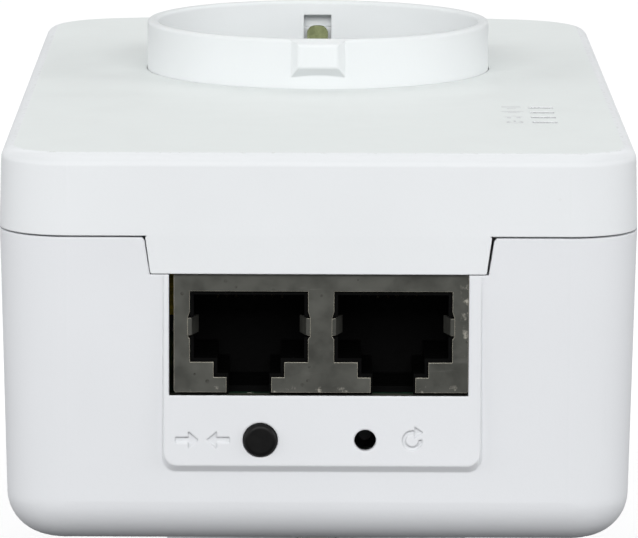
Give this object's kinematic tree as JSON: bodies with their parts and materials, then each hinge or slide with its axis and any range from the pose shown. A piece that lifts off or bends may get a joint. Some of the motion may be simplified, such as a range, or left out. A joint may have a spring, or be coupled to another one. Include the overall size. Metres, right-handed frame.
{
  "type": "powerline adapter",
  "caption": "Wall-plug powerline network adapter with a pass-through earthed socket, Ethernet ports, a pairing button and a recessed reset button.",
  "frame": {"origin": "centre of the plug's face, on the axis that the plug and the socket share", "axes": "+Z out of the wall towards the socket side, -Y towards the end with the Ethernet ports, +X to the right when the ports face the viewer"},
  "size_m": [0.07, 0.1305, 0.0853],
  "materials": {
    "white_plastic": "fine satin",
    "black_plastic": "matt",
    "nickel_brass": "satin nickel plate",
    "brass": "satin",
    "tinned_steel": "dull tinned, smudged",
    "zinc_steel": "zinc plated",
    "circuit_board": "green solder mask",
    "clear_plastic": "clear, moulded",
    "led_body": "clear resin",
    "chip_resin": "matt",
    "aluminium": "satin anodised",
    "can_sleeve": "shrunk sleeve",
    "ferrite": "matt",
    "film_resin": "moulded box",
    "disc_resin": "dipped resin",
    "sheet_card": "matt",
    "label_paper": "satin, blank"
  },
  "bodies": {
    "housing": {"board_link_pins": "brass", "board_link_spacer": "black_plastic", "board_screws": "zinc_steel", "bridge_rectifier": "black_plastic", "bulk_capacitors": "can_sleeve", "contact_carrier": "black_plastic", "coupling_transformer": "ferrite", "crystal": "tinned_steel", "earth_clip_front": "brass", "earth_clip_rear": "brass", "earth_strap": "brass", "ethernet_transformers": "chip_resin", "film_capacitor": "film_resin", "fuse": "black_plastic", "heat_sink": "aluminium", "housing_screws": "zinc_steel", "insulating_sheet": "sheet_card", "jack_body": "black_plastic", "jack_contacts": "brass", "jack_shield": "tinned_steel", "light_guide": "clear_plastic", "line_choke": "ferrite", "live_busbar": "brass", "live_contact": "brass", "logic_board": "circuit_board", "lower_housing": "white_plastic", "main_chip": "chip_resin", "memory_chips": "chip_resin", "neutral_busbar": "brass", "neutral_contact": "brass", "output_capacitors": "can_sleeve", "pair_switch": "black_plastic", "plug_body": "white_plastic", "plug_earth_sleeve": "brass", "plug_earth_strip_front": "brass", "plug_earth_strip_rear": "brass", "plug_pin_live": "nickel_brass", "plug_pin_neutral": "nickel_brass", "power_board": "circuit_board", "power_transformer": "ferrite", "rating_label": "label_paper", "reset_switch": "black_plastic", "shutter_spring": "zinc_steel", "socket_cup": "white_plastic", "status_leds": "led_body", "top_cover": "white_plastic", "varistor": "disc_resin"},
    "pair_key": {"pair_button": "black_plastic"},
    "pair_plunger": {"pair_switch_plunger": "black_plastic"},
    "reset_plunger": {"reset_switch_plunger": "black_plastic"},
    "shutter": {"socket_shutter": "white_plastic"}
  },
  "joints": [
    {"name": "pair_press", "type": "slide", "parent": "housing", "child": "pair_key", "axis": [0, 1, 0], "range_m": [0, 0.0003], "stiffness_N_per_m": 1500},
    {"name": "pair_switch_press", "type": "slide", "parent": "housing", "child": "pair_plunger", "axis": [0, 1, 0], "range_m": [0, 0.0003]},
    {"name": "reset_press", "type": "slide", "parent": "housing", "child": "reset_plunger", "axis": [0, 1, 0], "range_m": [0, 0.00025], "stiffness_N_per_m": 1500},
    {"name": "shutter_turn", "type": "hinge", "parent": "housing", "child": "shutter", "pos_m": [0, 0, 0.045], "axis": [0, 0, 1], "range_deg": [0, 42], "stiffness_Nm_per_rad": 0.004}
  ],
  "couplings": [
    {"joint": "pair_switch_press", "follows": "pair_press", "ratio": 1}
  ]
}
